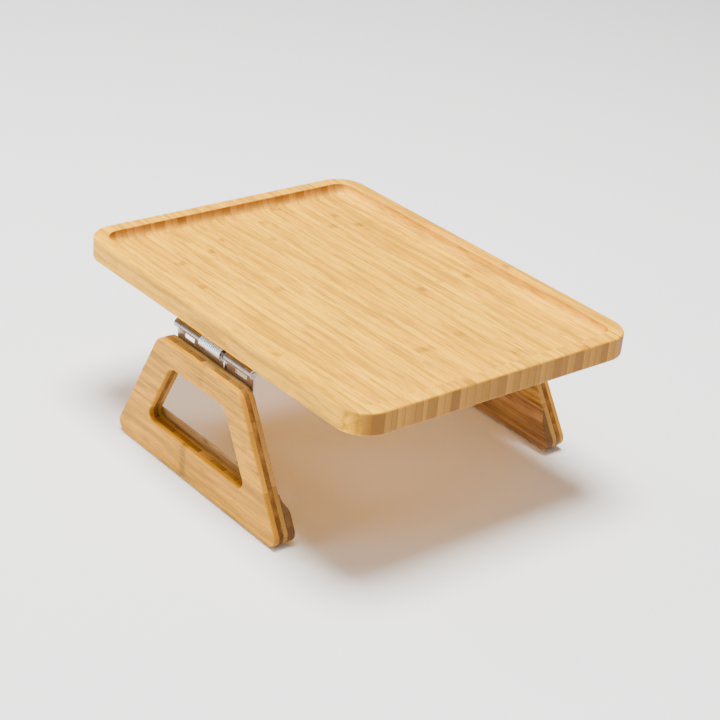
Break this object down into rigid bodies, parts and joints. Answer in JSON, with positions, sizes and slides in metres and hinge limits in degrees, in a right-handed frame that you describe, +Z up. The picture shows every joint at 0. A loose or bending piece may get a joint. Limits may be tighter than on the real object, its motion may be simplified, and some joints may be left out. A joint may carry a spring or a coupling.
{
  "type": "sofa_arm_tray",
  "caption": "Bamboo tray board with a routed recess, carried across a sofa armrest by two sprung, folding trapezoid side legs with grip strips.",
  "frame": {"origin": "centre of the tray board's underside, the face that rests on the armrest", "axes": "+X along the board's 330 mm length and the hinge pins, +Y across the armrest towards the right leg, +Z up"},
  "size_m": [0.33, 0.2745, 0.1329],
  "materials": {
    "bamboo_board": "satin clear-lacquered bamboo, strips along the board",
    "bamboo_light": "satin clear-lacquered bamboo face ply",
    "bamboo_core": "satin bamboo cross ply, darker end grain",
    "bamboo_strip": "satin clear-lacquered bamboo bar",
    "hinge_steel": "bright plated sheet steel",
    "spring_wire": "bright plated spring wire",
    "screw_steel": "bright plated steel"
  },
  "bodies": {
    "tray": {"tray_board": "bamboo_board", "left_tray_leaf": "hinge_steel", "left_hinge_pin": "hinge_steel", "left_torsion_spring": "spring_wire", "left_tray_screws": "screw_steel", "right_tray_leaf": "hinge_steel", "right_hinge_pin": "hinge_steel", "right_torsion_spring": "spring_wire", "right_tray_screws": "screw_steel"},
    "left_leg": {"left_leg_outer_ply": "bamboo_light", "left_leg_core_ply": "bamboo_core", "left_leg_inner_ply": "bamboo_light", "left_grip_strip": "bamboo_strip", "left_leg_leaf": "hinge_steel", "left_leg_screws": "screw_steel"},
    "right_leg": {"right_leg_outer_ply": "bamboo_light", "right_leg_core_ply": "bamboo_core", "right_leg_inner_ply": "bamboo_light", "right_grip_strip": "bamboo_strip", "right_leg_leaf": "hinge_steel", "right_leg_screws": "screw_steel"}
  },
  "joints": [
    {"name": "left_leg_hinge", "type": "hinge", "parent": "tray", "child": "left_leg", "pos_m": [0, -0.1202, -0.0058], "axis": [1, 0, 0], "range_deg": [-30.7, 89.3], "stiffness_Nm_per_rad": 0.3, "deforming": ["left_torsion_spring"]},
    {"name": "right_leg_hinge", "type": "hinge", "parent": "tray", "child": "right_leg", "pos_m": [0, 0.1202, -0.0058], "axis": [-1, 0, 0], "range_deg": [-24.6, 95.4], "stiffness_Nm_per_rad": 0.3, "deforming": ["right_torsion_spring"]}
  ]
}
